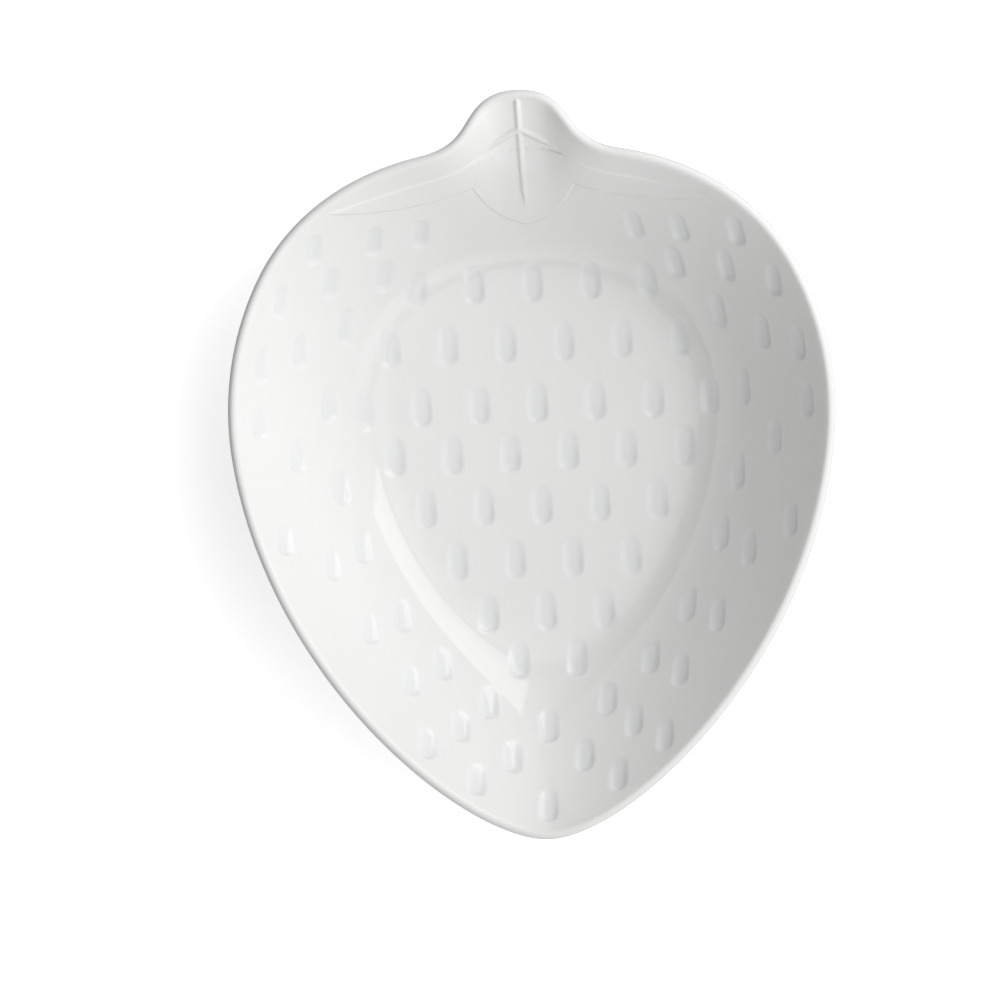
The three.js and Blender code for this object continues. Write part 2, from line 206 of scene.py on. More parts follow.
@dataclass(frozen=True)
class BowlShape:
    """The bowl's plan and wall, as the solids have them, in millimetres and degrees."""

    mouth_radius: float = 109.5
    shoulder_angle: float = 62.0
    shoulder_ease: float = 38.5
    side_angle: float = 96.5
    side_ease: float = 84.0
    tip_length: float = 47.0
    tip_rounding: float = 28.0
    tab_length: float = 7.0
    tab_rounding: float = 19.5
    root_half_width: float = 36.0
    root_dip: float = 9.8
    root_fall: float = 11.5
    root_inner_ease: float = 25.5
    root_outer_ease: float = 7.0
    crown_dip: float = 12.5
    tab_fade_power: float = 4.0
    floor_half_width: float = 54.0
    floor_back: float = 48.0
    floor_front: float = 84.0
    inner_depth: float = 55.0
    floor_ease: float = 0.27
    wall_ease_run: float = 0.44
    wall_ease_rise: float = 0.2
    base_thickness: float = 5.0
    lip_thickness: float = 4.0
    foot_height: float = 4.0
    foot_width: float = 5.0
    foot_setback: float = 1.5
    outline_samples: int = 200

    @property
    def floor_height(self) -> float:
        """Height of the inside's flat floor above the table."""
        return self.foot_height + self.base_thickness

    @cached_property
    def mouth_table(self) -> tuple[np.ndarray, np.ndarray]:
        """Angles and radii of the mouth's right half, from the end of the stem tab to the tip."""
        def compass(angle: float) -> np.ndarray:
            """A unit step in plan at an angle in degrees from +Y."""
            return np.array([math.sin(math.radians(angle)), math.cos(math.radians(angle))])

        tab_end = np.array([0.0, self.mouth_radius + self.tab_length])
        tip = np.array([0.0, -self.mouth_radius - self.tip_length])
        root_radius = self.mouth_radius - self.root_dip
        root = np.array([self.root_half_width, math.sqrt(root_radius ** 2 - self.root_half_width ** 2)])
        along_root = compass(90 + self.root_fall)
        shoulder = self.mouth_radius * compass(self.shoulder_angle)
        side = self.mouth_radius * compass(self.side_angle)
        aside = np.array([1.0, 0.0])
        tab = [tab_end, tab_end + self.tab_rounding * aside, root - self.root_inner_ease * along_root, root]
        shoulder_handle = shoulder - self.shoulder_ease * compass(self.shoulder_angle + 90)
        neck = [root, root + self.root_outer_ease * along_root, shoulder_handle, shoulder]
        side_handle = side + self.side_ease * compass(self.side_angle + 90)
        flank = [side, side_handle, tip + self.tip_rounding * aside, tip]
        outline = np.concatenate([bezier(curve, self.outline_samples) for curve in (tab, neck, flank)])
        return np.arctan2(np.abs(outline[:, 0]), outline[:, 1]), np.hypot(outline[:, 0], outline[:, 1])

    def mouth(self, angle: np.ndarray) -> np.ndarray:
        """Distance from the middle to the lip's inner edge, at angles in radians."""
        return np.interp(np.abs(angle), *self.mouth_table)

    def crown(self, angle: np.ndarray) -> np.ndarray:
        """The mouth as it would be without the stem tab."""
        shoulder = math.radians(self.shoulder_angle)
        dip = self.crown_dip * (1 - smooth_step(np.abs(angle), 0, shoulder))
        return np.where(np.abs(angle) < shoulder, self.mouth_radius - dip, self.mouth(angle))

    def floor(self, angle: np.ndarray) -> np.ndarray:
        """Distance from the middle to the edge of the flat floor."""
        reach = np.where(np.cos(angle) > 0, self.floor_back, self.floor_front)
        return 1 / np.hypot(np.sin(angle) / self.floor_half_width, np.cos(angle) / reach)

    def wall_profile(self, samples: int) -> tuple[np.ndarray, np.ndarray]:
        """Shares of the wall's run and rise, from the floor's edge to the lip."""
        ease = (self.wall_ease_run, self.wall_ease_rise)
        profile = bezier([(0, 0), (self.floor_ease, 0), ease, (1, 1)], samples)
        return profile[:, 0], profile[:, 1]


class InsideSurface:
    """The bowl's inside, sampled up each of a ring of columns."""

    SAMPLES = 161
    LONGEST = 1000.0

    def __init__(self, shape: BowlShape, columns: int) -> None:
        """Samples the inside.

        Args:
            shape: The bowl's plan and wall.
            columns: How many columns stand round it.
        """
        turn = np.arange(columns) / columns
        self.angles = 2 * math.pi * np.where(turn > 0.5, turn - 1, turn)
        self.height = shape.floor_height
        run, rise = shape.wall_profile(self.SAMPLES)
        floor, crown, mouth = (rule(self.angles)[:, None] for rule in (shape.floor, shape.crown, shape.mouth))
        radius = floor + (crown - floor) * run + (mouth - crown) * run ** shape.tab_fade_power
        sine, cosine = np.sin(self.angles)[:, None], np.cos(self.angles)[:, None]
        height = np.broadcast_to(self.height + shape.inner_depth * rise, radius.shape)
        self.points = np.stack([radius * sine, radius * cosine, height], axis=-1)
        around = np.roll(self.points, -1, axis=0) - np.roll(self.points, 1, axis=0)
        normals = np.cross(around, np.gradient(self.points, axis=1))
        normals[:, 0] = UP
        self.normals = normals / np.linalg.norm(normals, axis=2, keepdims=True)
        steps = np.linalg.norm(np.diff(self.points, axis=1), axis=2)
        self.along = floor + np.concatenate([np.zeros((columns, 1)), np.cumsum(steps, axis=1)], axis=1)
        thickness = shape.base_thickness + (shape.lip_thickness - shape.base_thickness) * run
        self.thickness = np.broadcast_to(thickness, radius.shape)

    @property
    def lengths(self) -> np.ndarray:
        """Distance from the middle to the lip along each column."""
        return self.along[:, -1]

    def length_at(self, angle: float) -> float:
        """Distance from the middle to the lip along the surface, at an angle in degrees."""
        columns = len(self.angles)
        return float(self.lengths[round(angle / 360 * columns) % columns])

    def at(self, column: np.ndarray, along: np.ndarray) -> tuple[np.ndarray, np.ndarray, np.ndarray]:
        """Finds places on the inside.

        Args:
            column: The column number of each place.
            along: Its distance from the middle along the surface.

        Returns:
            The points, the ways out of the wall, and the wall's thicknesses there.
        """
        columns, samples = self.along.shape
        stacked = (self.along + self.LONGEST * np.arange(columns)[:, None]).ravel()
        after = np.searchsorted(stacked, along + self.LONGEST * column) - column * samples
        after = np.clip(after, 1, samples - 1)
        low, high = self.along[column, after - 1], self.along[column, after]
        share = np.clip((along - low) / (high - low), 0, 1)[:, None]

        def between(table: np.ndarray) -> np.ndarray:
            """Reads a table between its samples."""
            return (1 - share) * table[column, after - 1] + share * table[column, after]

        points, normals = between(self.points), between(self.normals)
        thickness = between(self.thickness[:, :, None])[:, 0]
        flat = along < self.along[column, 0]
        angle = self.angles[column[flat]]
        reach = along[flat]
        level = np.full(reach.shape, self.height)
        points[flat] = np.stack([reach * np.sin(angle), reach * np.cos(angle), level], axis=1)
        normals[flat] = UP
        return points, normals / np.linalg.norm(normals, axis=1, keepdims=True), thickness

    def lip_over(self, column: np.ndarray) -> np.ndarray:
        """The way on up and over the lip, along the wall, at each column."""
        rim = self.points[:, -1]
        around = np.roll(rim, -1, axis=0) - np.roll(rim, 1, axis=0)
        over = np.cross(self.normals[:, -1], around)
        return (over / np.linalg.norm(over, axis=1, keepdims=True))[column]


@dataclass(frozen=True)
class GradedGrid:
    """A closed ring of cells that are halved both ways until each is as fine as its place needs."""

    columns: int = 64
    rows: int = 101
    halvings: int = 5

    @property
    def parts(self) -> int:
        """Finest steps along one side of a whole cell."""
        return 2 ** self.halvings

    @property
    def around(self) -> int:
        """Finest columns in the whole ring."""
        return self.columns * self.parts

    def cells(self, too_coarse: Callable[[np.ndarray, int], np.ndarray]) -> np.ndarray:
        """Halves the cells.

        Args:
            too_coarse: Takes the middles of cells of one size and that size, in finest steps, and says which
                are to be halved.

        Returns:
            One row for each cell: its first column and row, and its size, in finest steps.
        """
        size = self.parts
        column, row = np.meshgrid(np.arange(self.columns), np.arange(self.rows), indexing="ij")
        waiting = np.stack([column.ravel(), row.ravel()], axis=1) * size
        quarters = np.array([[0, 0], [1, 0], [0, 1], [1, 1]])
        done = []
        while size > 1:
            halved = too_coarse(waiting + size / 2, size)
            kept = waiting[~halved]
            done.append(np.column_stack([kept, np.full(len(kept), size)]))
            size //= 2
            waiting = (waiting[halved][:, None, :] + size * quarters).reshape(-1, 2)
        done.append(np.column_stack([waiting, np.full(len(waiting), size)]))
        return np.concatenate(done)

    def faces(self, cells: np.ndarray) -> tuple[np.ndarray, list[list[int]]]:
        """Joins the cells at their shared corners, so that no edge is left open.

        Args:
            cells: The cells.

        Returns:
            The column and row of each corner, and the corner numbers of each face.
        """
        numbers: dict[tuple[int, int], int] = {}
        for column, row, size in cells.tolist():
            for across, up in ((0, 0), (size, 0), (size, size), (0, size)):
                numbers.setdefault(((column + across) % self.around, row + up), len(numbers))
        faces = []
        for column, row, size in cells.tolist():
            border = [(column + step, row) for step in range(size)]
            border += [(column + size, row + step) for step in range(size)]
            border += [(column + size - step, row + size) for step in range(size)]
            border += [(column, row + size - step) for step in range(size)]
            places = ((across % self.around, up) for across, up in border)
            faces.append([numbers[place] for place in places if place in numbers])
        last_row = self.rows * self.parts
        first_ring = sorted((place for place in numbers if place[1] == 0), reverse=True)
        last_ring = sorted(place for place in numbers if place[1] == last_row)
        faces.append([numbers[place] for place in first_ring])
        faces.append([numbers[place] for place in last_ring])
        return np.array(list(numbers)), faces


@dataclass(frozen=True)
class Calyx:
    """Three low leaves and a forked vein below the stem tab, in millimetres on the rolled-out plan.

    Places are given aside from the middle line and down from the end of the tab.
    """

    relief: float = 0.45
    edge_width: float = 1.1
    leaf_tip: tuple[float, float] = (0.0, 61.5)
    leaf_bulge: tuple[float, float] = (14.0, 57.5)
    leaf_fork: tuple[float, float] = (22.5, 37.0)
    leaf_collar: tuple[float, float] = (19.0, 22.5)
    side_lower_bulge: tuple[float, float] = (54.0, 50.0)
    side_upper_bulge: tuple[float, float] = (52.0, 33.0)
    side_tip_angle: float = 43.0
    side_lip_margin: float = 2.8
    fade_start: float = 26.0
    fade_end: float = 14.0
    vein_width: float = 3.4
    vein_height: float = 0.9
    vein_rounding: float = 1.5
    vein_top: tuple[float, float] = (0.0, 2.0)
    vein_bottom: tuple[float, float] = (0.0, 50.5)
    vein_fork: tuple[float, float] = (0.0, 13.5)
    side_vein_end: tuple[float, float] = (15.5, 21.0)
    taper: float = 9.0
    taper_end: float = 0.35
    edge_samples: int = 16
    edge_cell: float = 0.45
    vein_cell: float = 0.55
    cell_growth: float = 0.35

    def place(self, surface: InsideSurface, spot: tuple[float, float], hand: Hand = Hand.RIGHT) -> np.ndarray:
        """A spot given from the end of the tab, on the rolled-out plan."""
        return np.array([spot[0] * hand.value, surface.length_at(0) - spot[1]])

    def middle_leaf(self, surface: InsideSurface) -> np.ndarray:
        """Outline of the middle leaf, from one side of its collar round its tip to the other."""
        spots = (self.leaf_tip, self.leaf_bulge, self.leaf_fork)
        right = bezier([self.place(surface, spot) for spot in spots], self.edge_samples)
        right = np.concatenate([right, [self.place(surface, self.leaf_collar)]])
        left = right * [-1, 1]
        return np.concatenate([left[:0:-1], right])

    def side_leaf(self, surface: InsideSurface, hand: Hand) -> np.ndarray:
        """Outline of a side leaf, along its lower edge to its tip and back along its upper edge."""
        reach = surface.length_at(self.side_tip_angle) - self.side_lip_margin
        angle = math.radians(self.side_tip_angle)
        tip = np.array([hand.value * reach * math.sin(angle), reach * math.cos(angle)])
        fork, collar, lower, upper = (
            self.place(surface, spot, hand)
            for spot in (self.leaf_fork, self.leaf_collar, self.side_lower_bulge, self.side_upper_bulge)
        )
        lower_edge = bezier([fork, lower, tip], self.edge_samples)
        upper_edge = bezier([tip, upper, collar], self.edge_samples)
        return np.concatenate([lower_edge, upper_edge[1:]])

    def veins(self, surface: InsideSurface) -> list[np.ndarray]:
        """The middle vein and its two forks, each from its root to its fine end."""
        middle = [self.place(surface, self.vein_top), self.place(surface, self.vein_bottom)]
        fork = self.place(surface, self.vein_fork)
        return [np.array(middle)] + [
            np.array([fork, self.place(surface, self.side_vein_end, hand)]) for hand in Hand
        ]

    def outlines(self, surface: InsideSurface) -> list[np.ndarray]:
        """The outlines of the three leaves."""
        return [self.middle_leaf(surface)] + [self.side_leaf(surface, hand) for hand in Hand]

    def height(self, surface: InsideSurface, x: np.ndarray, y: np.ndarray) -> np.ndarray:
        """How far the relief stands out of the wall.

        Args:
            surface: The bowl's inside.
            x: The places' x on the rolled-out plan.
            y: The places' y.

        Returns:
            The height at each place.
        """
        raised = np.zeros(x.shape)
        for outline in self.outlines(surface):
            depth = line_distance(x, y, outline) * np.where(within(x, y, outline), 1, -1)
            raised = np.maximum(raised, smooth_step(depth, -self.edge_width / 2, self.edge_width / 2))
        down = surface.length_at(0) - y
        relief = self.relief * raised * smooth_step(down, self.fade_end, self.fade_start)
        ridge = np.zeros(x.shape)
        for line in self.veins(surface):
            root, end = line
            run = (end - root) / np.linalg.norm(end - root)
            to_end = (end[0] - x) * run[0] + (end[1] - y) * run[1]
            fine = self.taper_end + (1 - self.taper_end) * smooth_step(to_end, 0, self.taper)
            share = np.clip(line_distance(x, y, line) / (fine * self.vein_width / 2), 0, 1)
            ridge = np.maximum(ridge, fine * self.vein_height * (1 - share ** 2) ** self.vein_rounding)
        return relief + ridge

    def fineness(self, surface: InsideSurface, x: np.ndarray, y: np.ndarray) -> np.ndarray:
        """The cell size that the relief needs at each place, in millimetres."""
        wanted = np.full(x.shape, np.inf)
        for outline in self.outlines(surface):
            beyond = np.maximum(line_distance(x, y, outline) - self.edge_width / 2, 0)
            wanted = np.minimum(wanted, self.edge_cell + self.cell_growth * beyond)
        for line in self.veins(surface):
            beyond = np.maximum(line_distance(x, y, line) - self.vein_width / 2, 0)
            wanted = np.minimum(wanted, self.vein_cell + self.cell_growth * beyond)
        return wanted


@dataclass(frozen=True)
class Seeds:
    """Seeds pressed into the inside, in millimetres on the rolled-out plan.

    Rows lie across the floor at a height up from its middle. Rings lie on the wall at a distance down from
    the lip, with the angles of their seeds from the tip in degrees, the same on both sides. A seed's hollow
    is worked out step by step from its place across and up, as shares of half its width and length.
    """

    length: float = 16.2
    width: float = 8.8
    depth: float = 1.1
    deepest: float = -0.6
    shallow_end: float = 0.3
    narrow_end: float = 0.05
    side_roundness: float = 2.0
    end_roundness: float = 5.0
    cell: float = 1.0
    cell_growth: float = 0.25
    spacing: float = 22.5
    rows: tuple[tuple[float, int], ...] = (
        (76.0, 5), (48.5, 5), (25.5, 6), (2.0, 7), (-17.0, 6), (-37.5, 5), (-58.5, 4), (-79.0, 3), (-98.0, 2),
    )
    rings: tuple[tuple[float, tuple[float, ...]], ...] = (
        (50.0, (0, 11.5, 22.5, 35.5, 54, 70.5, 94, 116, 134)),
        (31.0, (6, 15.5, 27, 39.5, 55, 81.5, 106.5, 124.5, 139)),
        (12.0, (0, 11, 20, 65, 90, 102, 116, 129)),
    )

    HOLLOW: ClassVar[tuple[tuple[str, str, str | float, str | float], ...]] = (
        ("half width", "MULTIPLY", "Seed width", 0.5),
        ("half length", "MULTIPLY", "Seed length", 0.5),
        ("across", "DIVIDE", "X", "half width"),
        ("up", "DIVIDE", "Y", "half length"),
        ("narrowing", "MULTIPLY", "up", "Narrow end"),
        ("waist", "SUBTRACT", 1.0, "narrowing"),
        ("signed side", "DIVIDE", "across", "waist"),
        ("side", "ABSOLUTE", "signed side", 0.0),
        ("side curve", "POWER", "side", "Side roundness"),
        ("end", "ABSOLUTE", "up", 0.0),
        ("end curve", "POWER", "end", "End roundness"),
        ("spread", "ADD", "side curve", "end curve"),
    )

    def places(self, surface: InsideSurface, calyx: Calyx) -> np.ndarray:
        """The middles of the seeds, with none on the middle leaf.

        Args:
            surface: The bowl's inside.
            calyx: The leaves.

        Returns:
            One row of x, y on the rolled-out plan for each seed.
        """
        leaf_end = calyx.place(surface, calyx.leaf_tip)[1]
        seeds = []
        for up, count in self.rows:
            for seed in range(count):
                aside = (seed - (count - 1) / 2) * self.spacing
                if up < leaf_end or abs(aside) > calyx.leaf_fork[0]:
                    seeds.append((aside, up))
        for down, angles in self.rings:
            for from_tip in angles:
                reach = surface.length_at(180 - from_tip) - down
                aside = reach * math.sin(math.radians(from_tip))
                up = -reach * math.cos(math.radians(from_tip))
                seeds.append((aside, up))
                if aside > self.width:
                    seeds.append((-aside, up))
        return np.array(seeds)

    def fineness(self, places: np.ndarray, x: np.ndarray, y: np.ndarray) -> np.ndarray:
        """The cell size that the seeds need at each place, in millimetres."""
        nearest = np.full(x.shape, np.inf)
        for seed_x, seed_y in places:
            spread = np.hypot((x - seed_x) / (self.width / 2), (y - seed_y) / (self.length / 2))
            nearest = np.minimum(nearest, spread)
        return self.cell + self.cell_growth * np.maximum(nearest - 1, 0) * self.width / 2

    def tree(self) -> bpy.types.NodeTree:
        """Builds the Geometry Nodes tree that presses the seeds into a mesh.

        Returns:
            The tree. Each point takes its nearest seed on the rolled-out plan and sinks along its normal,
            least at the seed's end towards the tab and most near the other end.
        """
        tree = bpy.data.node_groups.new("press_seeds", "GeometryNodeTree")
        tree.interface.new_socket("Geometry", in_out="INPUT", socket_type="NodeSocketGeometry")
        tree.interface.new_socket("Seed places", in_out="INPUT", socket_type="NodeSocketObject")
        for name in (
            "Seed length", "Seed width", "Seed depth", "Deepest place",
            "Shallow end", "Narrow end", "Side roundness", "End roundness",
        ):
            tree.interface.new_socket(name, in_out="INPUT", socket_type="NodeSocketFloat")
        tree.interface.new_socket("Glaze", in_out="INPUT", socket_type="NodeSocketMaterial")
        tree.interface.new_socket("Geometry", in_out="OUTPUT", socket_type="NodeSocketGeometry")

        given = tree.nodes.new("NodeGroupInput").outputs
        seeds = add_node(tree, "GeometryNodeObjectInfo", {"Object": given["Seed places"]})
        plan = add_node(tree, "GeometryNodeInputNamedAttribute", {"Name": DRAPE}, data_type="FLOAT_VECTOR")
        here = plan.outputs["Attribute"]
        nearest = add_node(
            tree, "GeometryNodeSampleNearest",
            {"Geometry": seeds.outputs["Geometry"], "Sample Position": here}, domain="POINT",
        )
        middle = add_node(
            tree, "GeometryNodeSampleIndex",
            {
                "Geometry": seeds.outputs["Geometry"],
                "Value": tree.nodes.new("GeometryNodeInputPosition").outputs[0],
                "Index": nearest.outputs["Index"],
            },
            data_type="FLOAT_VECTOR", domain="POINT",
        )
        away = add_node(tree, "ShaderNodeVectorMath", {0: here, 1: middle.outputs[0]}, operation="SUBTRACT")
        parts = add_node(tree, "ShaderNodeSeparateXYZ", {0: away.outputs[0]})
        values = {socket.name: socket for socket in (*given, *parts.outputs)}
        for name, operation, first, second in self.HOLLOW:
            inputs = {0: values.get(first, first), 1: values.get(second, second)}
            values[name] = add_node(tree, "ShaderNodeMath", inputs, operation=operation).outputs[0]
        hollow = add_node(
            tree, "ShaderNodeMapRange",
            {"Value": values["spread"], "From Min": 1.0, "From Max": 0.0},
            interpolation_type="SMOOTHSTEP",
        )
        slant = add_node(
            tree, "ShaderNodeMapRange",
            {
                "Value": values["up"],
                "From Min": given["Deepest place"],
                "From Max": 1.0,
                "To Min": 1.0,
                "To Max": given["Shallow end"],
            },
        )
        pool = add_node(
            tree, "ShaderNodeMath",
            {0: hollow.outputs["Result"], 1: slant.outputs["Result"]}, operation="MULTIPLY",
        )
        depth = add_node(
            tree, "ShaderNodeMath", {0: pool.outputs[0], 1: given["Seed depth"]}, operation="MULTIPLY",
        )
        sink = add_node(tree, "ShaderNodeMath", {0: depth.outputs[0], 1: -1.0}, operation="MULTIPLY")
        normal = tree.nodes.new("GeometryNodeInputNormal").outputs[0]
        offset = add_node(
            tree, "ShaderNodeVectorMath", {0: normal, "Scale": sink.outputs[0]}, operation="SCALE",
        )
        chosen = add_node(tree, "GeometryNodeInputNamedAttribute", {"Name": INSIDE}, data_type="BOOLEAN")
        kept = add_node(
            tree, "GeometryNodeStoreNamedAttribute",
            {
                "Geometry": given["Geometry"],
                "Selection": chosen.outputs["Attribute"],
                "Name": POOL,
                "Value": pool.outputs[0],
            },
            data_type="FLOAT", domain="POINT",
        )
        pressed = add_node(
            tree, "GeometryNodeSetPosition",
            {
                "Geometry": kept.outputs[0],
                "Selection": chosen.outputs["Attribute"],
                "Offset": offset.outputs[0],
            },
        )
        real = add_node(tree, "GeometryNodeRealizeInstances", {"Geometry": pressed.outputs[0]})
        glazed = add_node(
            tree, "GeometryNodeSetMaterial", {"Geometry": real.outputs[0], "Material": given["Glaze"]},
        )
        add_node(tree, "NodeGroupOutput", {0: glazed.outputs[0]})
        return tree

    def press(self, piece: bpy.types.Object, places: np.ndarray, glaze: bpy.types.Material) -> None:
        """Presses the seeds into a piece and makes the result its plain mesh.

        Args:
            piece: The bowl, with its rolled-out plan as an attribute.
            places: The middles of the seeds.
            glaze: The bowl's material.
        """
        points = np.column_stack([places, np.zeros(len(places))]) * MM
        marks = new_mesh_object("seed_places", points, [])
        tree = self.tree()
        sizes = {
            "Seed places": marks,
            "Seed length": self.length * MM,
            "Seed width": self.width * MM,
            "Seed depth": self.depth * MM,
            "Deepest place": self.deepest,
            "Shallow end": self.shallow_end,
            "Narrow end": self.narrow_end,
            "Side roundness": self.side_roundness,
            "End roundness": self.end_roundness,
            "Glaze": glaze,
        }
        modifier = piece.modifiers.new("press_seeds", "NODES")
        modifier.node_group = tree
        for socket in tree.interface.items_tree:
            if socket.in_out == "INPUT" and socket.name in sizes:
                modifier[socket.identifier] = sizes[socket.name]
        depsgraph = bpy.context.evaluated_depsgraph_get()
        mesh = bpy.data.meshes.new_from_object(
            piece.evaluated_get(depsgraph), preserve_all_data_layers=True, depsgraph=depsgraph,
        )
        mesh.name = piece.name
        piece.modifiers.remove(modifier)
        piece.data = mesh
        bpy.data.objects.remove(marks)


@dataclass(frozen=True)
class GlazedPorcelain:
    """White porcelain under a clear glossy glaze.

    The glaze melts to a glassy skin, so the eye gets sharp reflections that waver where the cast wall under
    them does. It drifts a little in tone and lies thicker in the seeds, where it looks a shade cooler.
    """

    thin: str = "f0f0ee"
    thick: str = "eaebea"
    pooled: str = "e8eaea"
    index: float = 1.52
    smoothest: float = 0.02
    roughest: float = 0.05
    drift: float = 70.0
    drift_detail: float = 3.0
    gloss_drift: float = 70.0 / 3
    gloss_detail: float = 4.0
    waver: float = 26.0
    waver_depth: float = 0.035
    peel: float = 3.2
    peel_depth: float = 0.0035
    skin_detail: float = 1.0

    def build(self) -> bpy.types.Material:
        """Makes the material, named for what it is."""
        material = bpy.data.materials.new("clear_glazed_porcelain")
        material.use_nodes = True
        tree = material.node_tree
        shader = tree.nodes["Principled BSDF"]
        place = tree.nodes.new("ShaderNodeTexCoord").outputs["Object"]

        noises = {}
        for name, size, detail in (
            ("tone", self.drift, self.drift_detail),
            ("gloss", self.gloss_drift, self.gloss_detail),
            ("waver", self.waver, self.skin_detail),
            ("peel", self.peel, self.skin_detail),
        ):
            inputs = {"Vector": place, "Scale": 1 / (size * MM), "Detail": detail}
            noises[name] = add_node(tree, "ShaderNodeTexNoise", inputs).outputs["Fac"]
        tone = add_node(
            tree, "ShaderNodeMix",
            {
                MIX_SHARE: noises["tone"],
                MIX_FIRST: linear_colour(self.thin),
                MIX_SECOND: linear_colour(self.thick),
            },
            data_type="RGBA",
        )
        pool = add_node(tree, "ShaderNodeAttribute", attribute_name=POOL)
        base = add_node(
            tree, "ShaderNodeMix",
            {
                MIX_SHARE: pool.outputs["Fac"],
                MIX_FIRST: tone.outputs[MIX_RESULT],
                MIX_SECOND: linear_colour(self.pooled),
            },
            data_type="RGBA",
        )
        gloss = add_node(
            tree, "ShaderNodeMapRange",
            {"Value": noises["gloss"], "To Min": self.smoothest, "To Max": self.roughest},
        )
        wavering = add_node(
            tree, "ShaderNodeBump",
            {"Strength": 1.0, "Distance": self.waver_depth * MM, "Height": noises["waver"]},
        )
        peeled = add_node(
            tree, "ShaderNodeBump",
            {
                "Strength": 1.0,
                "Distance": self.peel_depth * MM,
                "Height": noises["peel"],
                "Normal": wavering.outputs["Normal"],
            },
        )
        tree.links.new(base.outputs[MIX_RESULT], shader.inputs["Base Color"])
        tree.links.new(gloss.outputs["Result"], shader.inputs["Roughness"])
        tree.links.new(peeled.outputs["Normal"], shader.inputs["Normal"])
        shader.inputs["IOR"].default_value = self.index
        return material


@dataclass(frozen=True)
class BarePorcelain:
    """Unglazed fired porcelain, ground flat where the bowl stands.

    Wiped clean of glaze before firing, it stays matte and a little warm, with a fine grit. The grit of about
    0.2 mm is drawn coarser, so that it shows.
    """

    pale: str = "ece7de"
    dark: str = "d8d0c3"
    roughness: float = 0.85
    grit: float = 0.9
    grit_depth: float = 0.05
    grit_detail: float = 3.0
    stain: float = 14.0
    stain_detail: float = 4.0

    def build(self) -> bpy.types.Material:
        """Makes the material, named for what it is."""
        material = bpy.data.materials.new("unglazed_biscuit_porcelain")
        material.use_nodes = True
        tree = material.node_tree
        shader = tree.nodes["Principled BSDF"]
        place = tree.nodes.new("ShaderNodeTexCoord").outputs["Object"]
        grit = add_node(
            tree, "ShaderNodeTexNoise",
            {"Vector": place, "Scale": 1 / (self.grit * MM), "Detail": self.grit_detail},
        )
        stain = add_node(
            tree, "ShaderNodeTexNoise",
            {"Vector": place, "Scale": 1 / (self.stain * MM), "Detail": self.stain_detail},
        )
        tone = add_node(
            tree, "ShaderNodeMix",
            {
                MIX_SHARE: stain.outputs["Fac"],
                MIX_FIRST: linear_colour(self.pale),
                MIX_SECOND: linear_colour(self.dark),
            },
            data_type="RGBA",
        )
        bump = add_node(
            tree, "ShaderNodeBump",
            {"Strength": 1.0, "Distance": self.grit_depth * MM, "Height": grit.outputs["Fac"]},
        )
        tree.links.new(tone.outputs[MIX_RESULT], shader.inputs["Base Color"])
        tree.links.new(bump.outputs["Normal"], shader.inputs["Normal"])
        shader.inputs["Roughness"].default_value = self.roughness
        return material


